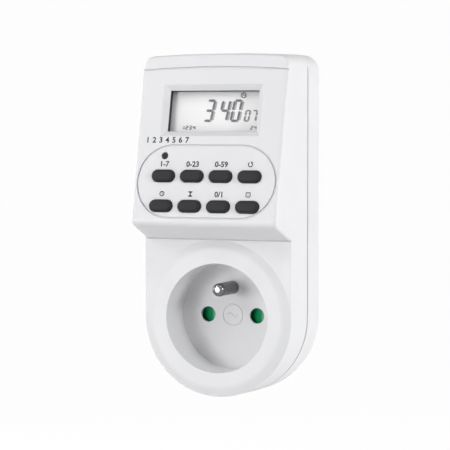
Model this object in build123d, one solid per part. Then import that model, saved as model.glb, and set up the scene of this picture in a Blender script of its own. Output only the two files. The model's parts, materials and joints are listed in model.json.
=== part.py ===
from build123d import *
import os
from math import cos, radians, sin, sqrt, tan

# A digital timer that plugs into a wall socket. Lengths are in millimetres and angles in degrees.
# +Z is up and the front faces -Y. The origin is the centre of the plug's end face, midway between
# its two pins, so the pins stand out towards +Y. "Depth" is the distance to the front, along -Y.

# Housing outline, as seen from the front; z = 0 is the line through the socket's pin holes
HALF_WIDTH = 28.5
TOP_Z = 94.2
ARCH_RISE = 1.0
FRONT_CORNER_R = 4.5
REAR_CORNER_R = 6.0
DRAFT = 2.0
WALL = 2.0

# Depths of the plug boss, the shells and the socket
PLUG_BOSS_LENGTH = 17.5
REAR_SHELL_DEPTH = 13.0
SPLIT_GAP = 1.0
FLOOR_AHEAD_OF_SPLIT = 1.0
SOCKET_DEPTH = 15.0
COLLAR_RAISE = 1.1
REAR_EDGE_R = 2.0

# Slanted head with the display and the keys
HEAD_TILT = 11.85
HEAD_DATUM_Z = 35.8
HEAD_BULGE = 28.1
HEAD_LOWER_EDGE = 2.3
UNDERSIDE_MARGIN = 0.2
HEAD_LOWER_EDGE_R = 2.4
HEAD_EDGE_R = 1.0
BROW_MID_S = 54.6
BROW_DROP = 1.1
GROOVE_WIDTH = 0.65
GROOVE_DEPTH = 0.6
CREASE = 0.35

# Socket: recess, pin holes and earth pin
RECESS_R = 19.5
COLLAR_MARGIN = 0.7
COLLAR_BEVEL = 2.9
COLLAR_CREST_R = 4.5
WELL_WALL = 1.8
FLOOR_THICKNESS = 1.0
PIN_SPACING = 19.0
PIN_R = 2.4
PIN_HOLE_R = 2.8
EARTH_Z = 10.0
EARTH_PIN_LENGTH = 14.0
EARTH_PIN_TIP_R = 1.6
EARTH_NECK_R = 2.0
FLOOR_RING_R = 4.0
FLOOR_RING_WIDTH = 0.4
FLOOR_RING_RAISE = 0.2

# Plug boss and pins
BOSS_R = 18.5
BOSS_FACE = 3.0
BOSS_EDGE_R = 0.8
PLUG_PIN_LENGTH = 19.0
PLUG_PIN_TIP_R = 1.8
PIN_SHOULDER_R = 3.2
PIN_TAIL_R = 1.5
PIN_TAIL_LENGTH = 5.0
GUIDE_GROOVE_WIDTH = 5.0
GUIDE_GROOVE_DEPTH = 2.6
GUIDE_RIB_THICKNESS = 1.0
CLIP_WIDTH = 5.0
CLIP_THICKNESS = 0.8
CLIP_START = 1.5
CLIP_LEG_DEPTH = 15.4

# Fits between pieces
SEAT_GAP = 0.1
RUN_GAP = 0.3
SLIDE_GAP = 0.15
ZEBRA_INSET = 1.0

# Housing screws and their posts
SCREW_INSET_X = 7.0
SCREW_INSET_Z = 5.7
LOWER_SCREW_INSET = 4.65
LOWER_SCREW_ANGLE = 45.0
SCREW_SHANK_R = 1.4
SCREW_HEAD_R = 2.6
SCREW_HEAD_H = 2.0
SCREW_LENGTH = 16.0
SCREW_SEAT = 5.0
SCREW_SLOT_WIDTH = 0.5
SCREW_SLOT_LENGTH = 1.3 * SCREW_HEAD_R
FRONT_POST_R = 2.7
REAR_POST_R = 3.8
LIP_THICKNESS = 0.9
LIP_REACH = 2.2
LIP_ROOT = 3.0

# Display
OPENING_LOW_S = 31.44
OPENING_HIGH_S = 46.21
BEZEL_SPREAD = 1.9
BEZEL_DEPTH = 1.6
BEZEL_LIP = 0.2
GLASS_MARGIN = 1.6
GASKET_THICKNESS = 1.8
WINDOW_THICKNESS = 0.8
DISPLAY_GAP = 0.3
LCD_THICKNESS = 1.8
HOLDER_WALL = 1.6
HOLDER_POST_GAP = 0.2
ZEBRA_WIDTH = 2.0

# Keys
KEY_COLUMNS = 4
KEY_PITCH_X = 10.92
KEY_ROWS_S = (15.17, 4.49)
KEY_LENGTH = 8.75
KEY_HEIGHT = 4.3
KEY_PROUD = 1.4
KEY_CROWN_R = 1.15
KEY_TRAVEL = 0.8
KEY_FLANGE = 0.75
KEY_FLANGE_THICKNESS = 0.9
KEY_STEM_R = 1.5
PANEL_LENGTH = 52.5
PANEL_HEIGHT = 25.9
PANEL_CENTRE_S = 13.25
RESET_X = -16.5
RESET_S = 22.4
RESET_R = 1.15
RESET_SUNK = 0.3
RESET_STEM_R = 0.7
DOME_SPARE = 0.75
DOME_FOOT_R = 2.9
DOME_TOP_R = 2.0
DOME_HOLLOW_R = 1.5
MAT_THICKNESS = 0.8
MAT_LOW_S = 1.3
MAT_TOP_S = 25.2

# Control board, parallel to the head
BOARD_THICKNESS = 1.6
CONTROL_BOARD_T = -7.6
CONTROL_BOARD_CLEARANCE = 2.3
CONTROL_BOARD_LOW_S = -0.2
CONTROL_BOARD_MARGIN = 0.4
BOARD_POST_R = 1.9
BOARD_POST_INSET = 1.8
BOARD_POST_TOP_S = 47.5
BOARD_SCREW_R = 0.75
BOARD_SCREW_HEAD_R = 1.7
BOARD_SCREW_HEAD_H = 1.2
BATTERY_AT = (-14.0, 37.0)
BATTERY_R = 5.6
BATTERY_HEIGHT = 5.2
BATTERY_EDGE_R = 0.6
CHIP_AT = (6.0, 22.0)
CHIP_R = 4.5
CHIP_HEIGHT = 1.2
CRYSTAL_AT = (16.0, 24.0)
CRYSTAL_R = 1.0
CRYSTAL_LENGTH = 6.0

# Power board, parallel to the back
POWER_BOARD_GAP = 3.9
POWER_BOARD_CLEARANCE = 2.0
POWER_BOARD_LOW_Z = 30.0
POWER_BOARD_TOP_CLEARANCE = 0.7
POWER_POST_INSET_X = 3.0
POWER_POST_INSET_Z = 3.5
POWER_POST_R = 2.4

# Components on the power board: places are (x, z)
EDGE_R = 0.6
LEG_R = 0.35
FILM_AT = (13.5, 46.5)
FILM_SIZE = (17.0, 7.0, 12.0)
CANS = ((14.0, 59.0, 5.0, 12.0), (16.0, 70.5, 4.0, 9.0))
VARISTOR_AT = (1.5, 62.0)
VARISTOR_R = 5.0
VARISTOR_THICKNESS = 3.5
VARISTOR_LIFT = 1.2
FUSE_AT = (-12.0, 59.0)
FUSE_R = 2.0
FUSE_LENGTH = 11.0
DIODE_AT = (-12.0, 64.0)
DIODE_PITCH = 3.0
DIODE_COUNT = 4
DIODE_R = 1.0
DIODE_LENGTH = 4.4
LIE_LIFT = 0.4
LINK_AT = (0.0, 76.2)
LINK_PINS = 6
LINK_PITCH = 2.0
LINK_BLOCK = 2.5

# Relay on the power board
RELAY_X = -9.5
RELAY_Z = 46.0
RELAY_WIDTH = 19.0
RELAY_HEIGHT = 15.5
RELAY_DEPTH = 15.5
RELAY_BASE = 2.0
RELAY_COVER_WALL = 0.8
YOKE_THICKNESS = 1.2
YOKE_HEIGHT = 9.6
CORE_R = 1.6
COIL_R = 4.4
ARMATURE_THICKNESS = 1.0
ARMATURE_GAP = 0.1
ARMATURE_OPEN = 3.5
CONTACT_R = 1.1
CONTACT_HEIGHT = 0.7
CONTACT_INSET = 2.0
CONTACT_RIVET = 0.2
FIXED_STRIP = 0.4
SPRING_STRIP = 0.3
SPRING_STRIP_WIDTH = 4.0
COIL_FOOT_GAP = 0.2
COIL_HEAD_GAP = 0.6
YOKE_SIDE_GAP = 0.4

# Shutter behind the socket floor
SHUTTER_OVERLAP = 0.25
SHUTTER_PLATE = 1.0
SHUTTER_SPACE = 3.1
CARRIER_PLATE = 2.0
CARRIER_STEP = 0.8
CARRIER_RIM = 1.6
CARRIER_POST_R = 1.5
BAR_HEIGHT = 5.0
SPRING_LENGTH = 10.0
SPRING_WINDOW_HEIGHT = 2.8
STOP_LEFT = 3.0
STOP_WIDTH = 1.6
SPRING_R = 1.0
SPRING_WIRE_R = 0.17
SPRING_TURNS = 9
RAIL_HEIGHT = 1.3

# Contacts and leads
SLEEVE_BORE_R = 2.45
SLEEVE_WALL = 0.7
SLEEVE_LENGTH = 13.2
SLEEVE_SLOT = 0.8
SLEEVE_HEEL = 2.0
CHAMBER_WALL = 1.2
CHAMBER_TAIL = 1.0
LEAD_R = 0.9
LEAD_BEND = 2.5
LEAD_END_BEND = 1.1
LEAD_END_INSET = 3.0
LIVE_LEAD_OFFSET = 2.2
LIVE_LEAD_CLEARANCE = 0.55
LUG_THICKNESS = 1.0
EARTH_FOOT_R = 3.6
STRAP_THICKNESS = 1.0
STRAP_WIDTH = 5.0
STRAP_DROP = 2.5

# Places that follow from the sizes above
COLLAR_FOOT_R = HALF_WIDTH - COLLAR_MARGIN
COLLAR_TOP_R = COLLAR_FOOT_R - COLLAR_BEVEL
UNDERSIDE_START_Z = COLLAR_FOOT_R + UNDERSIDE_MARGIN
SCREW_X = HALF_WIDTH - SCREW_INSET_X
SCREW_TOP_Z = TOP_Z - SCREW_INSET_Z
LOWER_SCREW_R = HALF_WIDTH - LOWER_SCREW_INSET
CONTROL_BOARD_HALF_WIDTH = HALF_WIDTH - WALL - CONTROL_BOARD_CLEARANCE
BOARD_POST_X = CONTROL_BOARD_HALF_WIDTH - BOARD_POST_INSET
# the display's holder fits between the upper board posts
OPENING_HALF_WIDTH = (BOARD_POST_X - BOARD_POST_R - HOLDER_POST_GAP
                      - HOLDER_WALL - SEAT_GAP - GLASS_MARGIN)
BOARD_POSTS_S = (sum(KEY_ROWS_S) / len(KEY_ROWS_S), BOARD_POST_TOP_S)
MAT_HALF_WIDTH = BOARD_POST_X - BOARD_POST_R - RUN_GAP
POWER_BOARD_HALF_WIDTH = HALF_WIDTH - WALL - POWER_BOARD_CLEARANCE
POWER_BOARD_HIGH_Z = SCREW_TOP_Z - REAR_POST_R - POWER_BOARD_TOP_CLEARANCE
POWER_POST_X = POWER_BOARD_HALF_WIDTH - POWER_POST_INSET_X
POWER_POSTS_Z = (POWER_BOARD_LOW_Z + POWER_POST_INSET_Z, POWER_BOARD_HIGH_Z - POWER_POST_INSET_Z)
BACK = PLUG_BOSS_LENGTH
SPLIT = BACK + REAR_SHELL_DEPTH
FLOOR = SPLIT + FLOOR_AHEAD_OF_SPLIT
FLOOR_BACK = FLOOR - FLOOR_THICKNESS
COLLAR_FACE = FLOOR + SOCKET_DEPTH
LOBE_FACE = COLLAR_FACE - COLLAR_RAISE
HEAD_DEPTH = SPLIT + HEAD_BULGE
REAR_INSIDE = BACK + WALL
PIN_X = PIN_SPACING / 2
WELL_R = RECESS_R + WELL_WALL
BOSS_BORE_R = BOSS_R - WALL
TILT = radians(HEAD_TILT)
# cuts and joined bodies run past a face by this much, and some cuts right through the part
PAST = 1.0
FAR = 200.0


def facing(depth):
    """A plane at this depth that faces the front: its x is X and its y is Z."""
    return Plane.XZ.offset(depth)


def prism(sketch, start, end, taper=0.0):
    """The sketch, seen from the front, from one depth to another."""
    return extrude(facing(start) * sketch, amount=end - start, taper=taper)


def rod(x, z, radius, start, end):
    return prism(Pos(x, z) * Circle(radius), start, end)


def block(x0, x1, z0, z1, start, end):
    return prism(Pos((x0 + x1) / 2, (z0 + z1) / 2) * Rectangle(x1 - x0, z1 - z0), start, end)


def cone(x, z, r0, r1, start, end):
    """A round body whose radius goes from r0 at the start depth to r1 at the end depth."""
    profile = make_face(Polyline((0, -start), (r0, -start), (r1, -end), (0, -end), close=True))
    return Pos(x, 0, z) * revolve(profile, Axis.Y)


# The head's own frame: x is X, s runs up its slanted face and t stands out of it
HEAD = Plane(origin=(0, -HEAD_DEPTH, HEAD_DATUM_Z), x_dir=(1, 0, 0), z_dir=(0, -cos(TILT), sin(TILT)))


def head_prism(sketch, start_t, end_t):
    return extrude(HEAD.offset(start_t) * sketch, amount=end_t - start_t)


def head_block(x0, x1, s0, s1, start_t, end_t):
    return head_prism(Pos((x0 + x1) / 2, (s0 + s1) / 2) * Rectangle(x1 - x0, s1 - s0), start_t, end_t)


def head_rod(x, s, radius, start_t, end_t):
    return head_prism(Pos(x, s) * Circle(radius), start_t, end_t)


def head_point(s, t):
    """Depth and height of a point of the head's frame."""
    return (HEAD_DEPTH - s * sin(TILT) + t * cos(TILT), HEAD_DATUM_Z + s * cos(TILT) + t * sin(TILT))


def side_prism(points):
    """A prism along X over points given as depth and height."""
    outline_yz = make_face(Polyline(*[(-depth, z) for depth, z in points], close=True))
    return extrude(Plane.YZ * outline_yz, amount=FAR, both=True)


def housing_outline(inset=0.0, corner=FRONT_CORNER_R):
    """The housing as seen from the front, drawn in by an inset."""
    half = HALF_WIDTH - inset
    edge_z = TOP_Z - ARCH_RISE - inset
    edges = [
        ThreePointArc((-half, 0), (0, -half), (half, 0)),
        Line((half, 0), (half, edge_z)),
        ThreePointArc((half, edge_z), (0, TOP_Z - inset), (-half, edge_z)),
        Line((-half, edge_z), (-half, 0)),
    ]
    face = make_face(edges)
    return fillet(face.vertices().group_by(Axis.Y)[-1], max(corner - inset, 0.6))


def front_profile(inset=0.0):
    """The front's shape as seen from the side: the lobe's face, the head's underside and its slanted face."""
    root = (LOBE_FACE, UNDERSIDE_START_Z)
    edge = head_point(-HEAD_LOWER_EDGE, 0)
    run = edge[0] - root[0]
    rise = edge[1] - root[1]
    slope = rise / run
    lift = inset * sqrt(1 + slope**2)
    under_z = root[1] + lift
    # where the underside, raised by the inset, meets the slanted face, set back by the inset
    face_d, face_z = head_point(0, -inset)
    corner_d = (face_d + (face_z - under_z + slope * root[0]) * tan(TILT)) / (1 + slope * tan(TILT))
    corner_z = under_z + slope * (corner_d - root[0])
    top_d = face_d - (FAR - face_z) * tan(TILT)
    lobe = LOBE_FACE - inset
    lobe_z = under_z + slope * (lobe - root[0])
    return side_prism([
        (SPLIT - LIP_REACH, -FAR), (lobe, -FAR), (lobe, lobe_z), (corner_d, corner_z), (top_d, FAR),
        (SPLIT - LIP_REACH, FAR),
    ])


def lower_screws():
    across = LOWER_SCREW_R * cos(radians(LOWER_SCREW_ANGLE))
    down = LOWER_SCREW_R * sin(radians(LOWER_SCREW_ANGLE))
    return [(-across, -down), (across, -down)]


SCREW_PLACES = [(-SCREW_X, SCREW_TOP_Z), (SCREW_X, SCREW_TOP_Z)] + lower_screws()
KEY_XS = [(i - (KEY_COLUMNS - 1) / 2) * KEY_PITCH_X for i in range(KEY_COLUMNS)]
KEY_PLACES = [(x, s) for s in KEY_ROWS_S for x in KEY_XS]
KEY_NAMES = [
    "key_week", "key_hour", "key_minute", "key_recall", "key_clock", "key_timer", "key_mode", "key_random",
]
BOARD_POSTS = [(side * BOARD_POST_X, s) for s in BOARD_POSTS_S for side in (-1, 1)]
POWER_POSTS = [(side * POWER_POST_X, z) for z in POWER_POSTS_Z for side in (-1, 1)]

# Levels of the display stack, as t in the head's frame
GASKET_T = -(BEZEL_DEPTH + BEZEL_LIP)
WINDOW_T = GASKET_T - GASKET_THICKNESS
LCD_T = WINDOW_T - WINDOW_THICKNESS - DISPLAY_GAP
ZEBRA_T = LCD_T - LCD_THICKNESS
GLASS_HALF_WIDTH = OPENING_HALF_WIDTH + GLASS_MARGIN
GLASS_LOW_S = OPENING_LOW_S - GLASS_MARGIN
GLASS_HIGH_S = OPENING_HIGH_S + GLASS_MARGIN
BOARD_BACK_T = CONTROL_BOARD_T - BOARD_THICKNESS
DOME_HEIGHT = KEY_TRAVEL + DOME_SPARE
STEM_END_T = CONTROL_BOARD_T + MAT_THICKNESS + DOME_HEIGHT + SEAT_GAP / 2
POWER_BOARD = REAR_INSIDE + POWER_BOARD_GAP
POWER_BOARD_FRONT = POWER_BOARD + BOARD_THICKNESS
SCREW_SEAT_DEPTH = BACK + SCREW_SEAT
PARTS = {}


def keep(name, shape):
    PARTS[name] = shape


def front_housing():
    outer = prism(housing_outline(), SPLIT + SPLIT_GAP / 2, SPLIT + HEAD_BULGE + WALL, DRAFT) & front_profile()
    slanted = outer.faces().sort_by(Axis.Y)[0]
    lower_edge = slanted.edges().sort_by(Axis.Z)[0]
    outer = fillet(lower_edge, HEAD_LOWER_EDGE_R)
    slanted = max(outer.faces().filter_by(GeomType.PLANE), key=lambda f: f.area * (f.normal_at().Y < -0.9))
    rim = slanted.edges().sort_by(Axis.Z)[1:]
    outer = fillet(rim, HEAD_EDGE_R)

    inner = prism(housing_outline(WALL), SPLIT - LIP_REACH, SPLIT + HEAD_BULGE, DRAFT) & front_profile(WALL)
    shell = outer - inner
    collar = cone(0, 0, COLLAR_FOOT_R, COLLAR_TOP_R, LOBE_FACE, COLLAR_FACE)
    collar = fillet(collar.edges().sort_by(Axis.Y)[0], COLLAR_CREST_R)
    well = rod(0, 0, WELL_R, FLOOR_BACK, LOBE_FACE)
    shell = shell + collar + well

    # screw posts go from the front wall back across the split to the rear shell's posts
    inside = prism(housing_outline(WALL / 2), SPLIT - LIP_REACH, SPLIT + HEAD_BULGE, DRAFT)
    inside &= front_profile(WALL / 2)
    for x, z in SCREW_PLACES:
        shell += rod(x, z, FRONT_POST_R, SPLIT - SPLIT_GAP / 2 + SEAT_GAP, HEAD_DEPTH) & inside
    for x, s in BOARD_POSTS:
        shell += head_rod(x, s, BOARD_POST_R, CONTROL_BOARD_T, -WALL / 2)

    shell -= rod(0, 0, RECESS_R, FLOOR, COLLAR_FACE + WALL)
    shell += rod(0, 0, FLOOR_RING_R, FLOOR, FLOOR + FLOOR_RING_RAISE) - rod(
        0, 0, FLOOR_RING_R - FLOOR_RING_WIDTH, FLOOR, FLOOR + FLOOR_RING_RAISE)
    for side in (-1, 1):
        shell -= rod(side * PIN_X, 0, PIN_HOLE_R, FLOOR_BACK - WALL, FLOOR + WALL)
    shell -= rod(0, EARTH_Z, EARTH_NECK_R + SEAT_GAP, FLOOR_BACK - WALL, FLOOR + WALL)

    for x, z in SCREW_PLACES:
        shell -= rod(x, z, SCREW_SHANK_R + SEAT_GAP, BACK, SCREW_SEAT_DEPTH + SCREW_LENGTH + WALL / 2)
    for x, s in BOARD_POSTS:
        shell -= head_rod(x, s, BOARD_SCREW_R + SEAT_GAP, CONTROL_BOARD_T, -WALL)

    # display opening: a chamfered bezel, a thin lip and a pocket for the gasket behind it
    opening_s = (OPENING_LOW_S + OPENING_HIGH_S) / 2
    opening_width = 2 * OPENING_HALF_WIDTH
    opening_height = OPENING_HIGH_S - OPENING_LOW_S
    at_opening = Pos(0, opening_s)
    bezel = loft([
        HEAD * at_opening * Rectangle(opening_width + 2 * BEZEL_SPREAD, opening_height + 2 * BEZEL_SPREAD),
        HEAD.offset(-BEZEL_DEPTH) * at_opening * Rectangle(opening_width, opening_height),
    ])
    shell -= bezel
    shell -= head_prism(at_opening * Rectangle(opening_width, opening_height), -WALL - PAST, 0)
    shell -= head_block(-GLASS_HALF_WIDTH - SEAT_GAP, GLASS_HALF_WIDTH + SEAT_GAP,
                        GLASS_LOW_S - SEAT_GAP, GLASS_HIGH_S + SEAT_GAP, -WALL - PAST, GASKET_T)

    # key openings, the grooved outline round them and the arched groove below the brow
    for x, s in KEY_PLACES:
        hole = Pos(x, s) * SlotOverall(KEY_LENGTH + 2 * SLIDE_GAP, KEY_HEIGHT + 2 * SLIDE_GAP)
        shell -= head_prism(hole, -WALL - PAST, PAST)
    shell -= head_rod(RESET_X, RESET_S, RESET_R + SLIDE_GAP, -WALL - PAST, PAST)
    panel = SlotOverall(PANEL_LENGTH + GROOVE_WIDTH, PANEL_HEIGHT + GROOVE_WIDTH)
    panel -= SlotOverall(PANEL_LENGTH - GROOVE_WIDTH, PANEL_HEIGHT - GROOVE_WIDTH)
    shell -= head_prism(Pos(0, PANEL_CENTRE_S) * panel, -GROOVE_DEPTH, PAST)
    reach = HALF_WIDTH + WALL
    brow_low = BROW_MID_S - BROW_DROP * (reach / HALF_WIDTH) ** 2
    brow = make_face([
        ThreePointArc((-reach, brow_low), (0, BROW_MID_S), (reach, brow_low)),
        Line((reach, brow_low), (reach, brow_low - GROOVE_WIDTH)),
        ThreePointArc((reach, brow_low - GROOVE_WIDTH), (0, BROW_MID_S - GROOVE_WIDTH),
                      (-reach, brow_low - GROOVE_WIDTH)),
        Line((-reach, brow_low - GROOVE_WIDTH), (-reach, brow_low)),
    ])
    shell -= head_prism(brow, -GROOVE_DEPTH, WALL)

    # a fine groove in the corner between the lobe's face and the head's underside
    shell -= block(-FAR, FAR, UNDERSIDE_START_Z - CREASE / 2, UNDERSIDE_START_Z + CREASE / 2,
                   LOBE_FACE - CREASE, LOBE_FACE + CREASE)
    keep("front_housing", shell)


def rear_housing():
    edge = SPLIT - SPLIT_GAP / 2
    outer = prism(housing_outline(corner=REAR_CORNER_R), BACK, edge)
    outer = fillet(outer.faces().sort_by(Axis.Y)[-1].edges(), REAR_EDGE_R)
    shell = outer - prism(housing_outline(WALL, REAR_CORNER_R), REAR_INSIDE, SPLIT)

    # a lip that reaches inside the front shell
    lip_in = WALL + SLIDE_GAP + LIP_THICKNESS
    root = prism(housing_outline(WALL - SEAT_GAP, REAR_CORNER_R), edge - LIP_ROOT, edge)
    tongue = prism(housing_outline(WALL + SLIDE_GAP, REAR_CORNER_R), edge, edge + LIP_REACH, DRAFT)
    inside = housing_outline(lip_in, REAR_CORNER_R)
    lip = root + tongue - prism(inside, edge - LIP_ROOT, edge + LIP_REACH + PAST)
    for x, z in SCREW_PLACES:
        lip -= rod(x, z, FRONT_POST_R + RUN_GAP, edge, edge + LIP_REACH + PAST)
    shell += lip

    boss = rod(0, 0, BOSS_R, 0, REAR_INSIDE)
    boss = fillet(boss.edges().sort_by(Axis.Y)[-1], BOSS_EDGE_R)
    boss -= rod(0, 0, BOSS_BORE_R, BOSS_FACE, REAR_INSIDE)
    rib_in = BOSS_R - GUIDE_GROOVE_DEPTH - GUIDE_RIB_THICKNESS
    rib_half = GUIDE_GROOVE_WIDTH / 2 + GUIDE_RIB_THICKNESS
    for side in (-1, 1):
        low, high = sorted((side * rib_in, side * (BOSS_BORE_R + WALL / 2)))
        rib = block(low, high, -rib_half, rib_half, BOSS_FACE, REAR_INSIDE)
        boss += rib & rod(0, 0, BOSS_R, 0, REAR_INSIDE)
    shell -= rod(0, 0, BOSS_BORE_R, BACK - PAST, REAR_INSIDE + PAST)
    shell += boss
    for side in (-1, 1):
        low, high = sorted((side * (BOSS_R - GUIDE_GROOVE_DEPTH), side * (BOSS_R + PAST)))
        shell -= block(low, high, -GUIDE_GROOVE_WIDTH / 2, GUIDE_GROOVE_WIDTH / 2, -PAST, BACK)
        # seat for an earth clip, and the slot that its leg goes through
        half = CLIP_WIDTH / 2 + SEAT_GAP
        low, high = sorted((side * CLIP_BED, side * (BOSS_R + PAST)))
        shell -= block(-half, half, low, high, CLIP_START - SEAT_GAP, CLIP_END + SEAT_GAP)
        low, high = sorted((side * (BOSS_BORE_R - PAST), side * (BOSS_R + PAST)))
        shell -= block(-half, half, low, high, CLIP_LEG_DEPTH - SEAT_GAP, CLIP_END + SEAT_GAP)
        shell -= rod(side * PIN_X, 0, PIN_SHOULDER_R + SEAT_GAP / 2, -PAST, BOSS_FACE + PAST)
    shell -= rod(0, EARTH_Z, PIN_HOLE_R, -PAST, BOSS_FACE + PAST)

    # posts for the housing screws, the power board and the socket carrier
    for x, z in SCREW_PLACES:
        post = rod(x, z, REAR_POST_R, REAR_INSIDE - WALL / 2, edge) & prism(
            housing_outline(WALL / 2, REAR_CORNER_R), BACK, edge)
        # beside the carrier and the well the post is cut back
        shell += post - rod(0, 0, WELL_R + SEAT_GAP, CARRIER_BACK - SEAT_GAP, edge + PAST)
        shell -= rod(x, z, SCREW_HEAD_R + RUN_GAP, BACK - PAST, SCREW_SEAT_DEPTH)
        shell -= rod(x, z, SCREW_SHANK_R + SEAT_GAP, BACK - PAST, edge + PAST)
    for x, z in POWER_POSTS:
        shell += rod(x, z, POWER_POST_R, REAR_INSIDE - WALL / 2, POWER_BOARD)
        shell -= rod(x, z, BOARD_SCREW_R + SEAT_GAP, REAR_INSIDE, POWER_BOARD + PAST)
    for x, z in CARRIER_POSTS:
        shell += rod(x, z, CARRIER_POST_R, REAR_INSIDE - WALL / 2, CARRIER_BACK)
    keep("rear_housing", shell)


def housing_screw():
    """A cross-head screw along the depth: its head lies behind its seat and its shank goes to the front."""
    head_back = SCREW_SEAT_DEPTH - SCREW_HEAD_H
    body = rod(0, 0, SCREW_HEAD_R, head_back, SCREW_SEAT_DEPTH)
    body += rod(0, 0, SCREW_SHANK_R, SCREW_SEAT_DEPTH, SCREW_SEAT_DEPTH + SCREW_LENGTH)
    for turn in (0, 90):
        slot = Rot(0, 0, turn) * Rectangle(SCREW_SLOT_LENGTH, SCREW_SLOT_WIDTH)
        body -= prism(slot, head_back - PAST, head_back + SCREW_HEAD_H / 2)
    return body


def fasteners():
    keep("housing_screws", Compound([Pos(x, 0, z) * housing_screw() for x, z in SCREW_PLACES]))
    power = []
    for x, z in POWER_POSTS:
        head = rod(x, z, BOARD_SCREW_HEAD_R, POWER_BOARD_FRONT, POWER_BOARD_FRONT + BOARD_SCREW_HEAD_H)
        power.append(head + rod(x, z, BOARD_SCREW_R, REAR_INSIDE + PAST, POWER_BOARD_FRONT))
    keep("power_board_screws", Compound(power))
    control = []
    for x, s in BOARD_POSTS:
        head = head_rod(x, s, BOARD_SCREW_HEAD_R, BOARD_BACK_T - BOARD_SCREW_HEAD_H, BOARD_BACK_T)
        control.append(head + head_rod(x, s, BOARD_SCREW_R, BOARD_BACK_T, -WALL - PAST))
    keep("control_board_screws", Compound(control))


def keys():
    flange_top = -WALL - RUN_GAP
    flange_end = flange_top - KEY_FLANGE_THICKNESS
    for name, (x, s) in zip(KEY_NAMES, KEY_PLACES):
        at = Pos(x, s)
        cap = head_prism(at * SlotOverall(KEY_LENGTH, KEY_HEIGHT), flange_end, KEY_PROUD)
        crown = [e for e in cap.edges() if HEAD.to_local_coords(e).center().Z > KEY_PROUD - 0.01]
        cap = fillet(crown, KEY_CROWN_R)
        cap += head_prism(
            at * SlotOverall(KEY_LENGTH + 2 * KEY_FLANGE, KEY_HEIGHT + 2 * KEY_FLANGE), flange_end, flange_top)
        cap += head_rod(x, s, KEY_STEM_R, STEM_END_T, flange_end)
        keep(name, cap)
    reset = head_rod(RESET_X, RESET_S, RESET_R, flange_end, -RESET_SUNK)
    reset += head_rod(RESET_X, RESET_S, RESET_R + KEY_FLANGE, flange_end, flange_top)
    reset += head_rod(RESET_X, RESET_S, RESET_STEM_R, STEM_END_T, flange_end)
    keep("reset_button", reset)


def keypad_mat():
    base_t = CONTROL_BOARD_T + MAT_THICKNESS
    mat = head_block(-MAT_HALF_WIDTH, MAT_HALF_WIDTH, MAT_LOW_S, MAT_TOP_S, CONTROL_BOARD_T, base_t)
    for x, s in KEY_PLACES + [(RESET_X, RESET_S)]:
        dome = loft([
            HEAD.offset(base_t) * Pos(x, s) * Circle(DOME_FOOT_R),
            HEAD.offset(base_t + DOME_HEIGHT) * Pos(x, s) * Circle(DOME_TOP_R),
        ])
        mat += dome
    for x, s in KEY_PLACES + [(RESET_X, RESET_S)]:
        mat -= head_rod(x, s, DOME_HOLLOW_R, CONTROL_BOARD_T, base_t + DOME_HEIGHT - MAT_THICKNESS)
    keep("keypad_mat", mat)


def display():
    low, high, half = GLASS_LOW_S, GLASS_HIGH_S, GLASS_HALF_WIDTH
    gasket = head_block(-half, half, low, high, WINDOW_T, GASKET_T)
    keep("lcd_gasket", gasket - head_block(-OPENING_HALF_WIDTH, OPENING_HALF_WIDTH, OPENING_LOW_S, OPENING_HIGH_S,
                                           WINDOW_T - PAST, GASKET_T + PAST))
    keep("lcd_window", head_block(-half, half, low, high, WINDOW_T - WINDOW_THICKNESS, WINDOW_T))
    keep("lcd_glass", head_block(-half, half, low, high, ZEBRA_T, LCD_T))
    outside = half + SEAT_GAP + HOLDER_WALL
    rise = SEAT_GAP + HOLDER_WALL
    holder = head_block(-outside, outside, low - rise, high + rise, CONTROL_BOARD_T, -WALL)
    keep("lcd_holder", holder - head_block(-half - SEAT_GAP, half + SEAT_GAP, low - SEAT_GAP, high + SEAT_GAP,
                                           CONTROL_BOARD_T - PAST, -WALL + PAST))
    strips = [
        head_block(-half + ZEBRA_INSET, half - ZEBRA_INSET, s, s + ZEBRA_WIDTH, CONTROL_BOARD_T, ZEBRA_T)
        for s in (low + SEAT_GAP, high - SEAT_GAP - ZEBRA_WIDTH)
    ]
    keep("zebra_strips", Compound(strips))


def control_electronics():
    board_high = GLASS_HIGH_S + HOLDER_WALL + CONTROL_BOARD_MARGIN
    board = head_block(-CONTROL_BOARD_HALF_WIDTH, CONTROL_BOARD_HALF_WIDTH, CONTROL_BOARD_LOW_S, board_high,
                       BOARD_BACK_T, CONTROL_BOARD_T)
    for x, s in BOARD_POSTS:
        board -= head_rod(x, s, BOARD_SCREW_R + RUN_GAP, BOARD_BACK_T - PAST, CONTROL_BOARD_T + PAST)
    keep("control_board", board)
    for name, at, radius, height, edge_r in (
        ("backup_battery", BATTERY_AT, BATTERY_R, BATTERY_HEIGHT, BATTERY_EDGE_R),
        ("timer_chip", CHIP_AT, CHIP_R, CHIP_HEIGHT, CHIP_HEIGHT - SEAT_GAP),
    ):
        body = head_rod(*at, radius, BOARD_BACK_T - height, BOARD_BACK_T)
        rim = [e for e in body.edges() if HEAD.to_local_coords(e).center().Z < BOARD_BACK_T - height / 2]
        keep(name, fillet(rim, edge_r))
    lying = HEAD * Pos(*CRYSTAL_AT, BOARD_BACK_T - CRYSTAL_R) * Rot(90, 0, 0)
    keep("clock_crystal", lying * Cylinder(CRYSTAL_R, CRYSTAL_LENGTH))


def lying_rod(x, z, depth, radius, length):
    """A rod along X whose middle is at this place and depth."""
    return Pos(x, -depth, z) * Rot(0, 90, 0) * Cylinder(radius, length)


def leg_pair(x, z, length, rise):
    """Two legs that reach from the power board into the ends of a lying component."""
    reach = length / 2 - 2 * LEG_R
    return rod(x - reach, z, LEG_R, POWER_BOARD_FRONT, POWER_BOARD_FRONT + rise) + rod(
        x + reach, z, LEG_R, POWER_BOARD_FRONT, POWER_BOARD_FRONT + rise)


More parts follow.
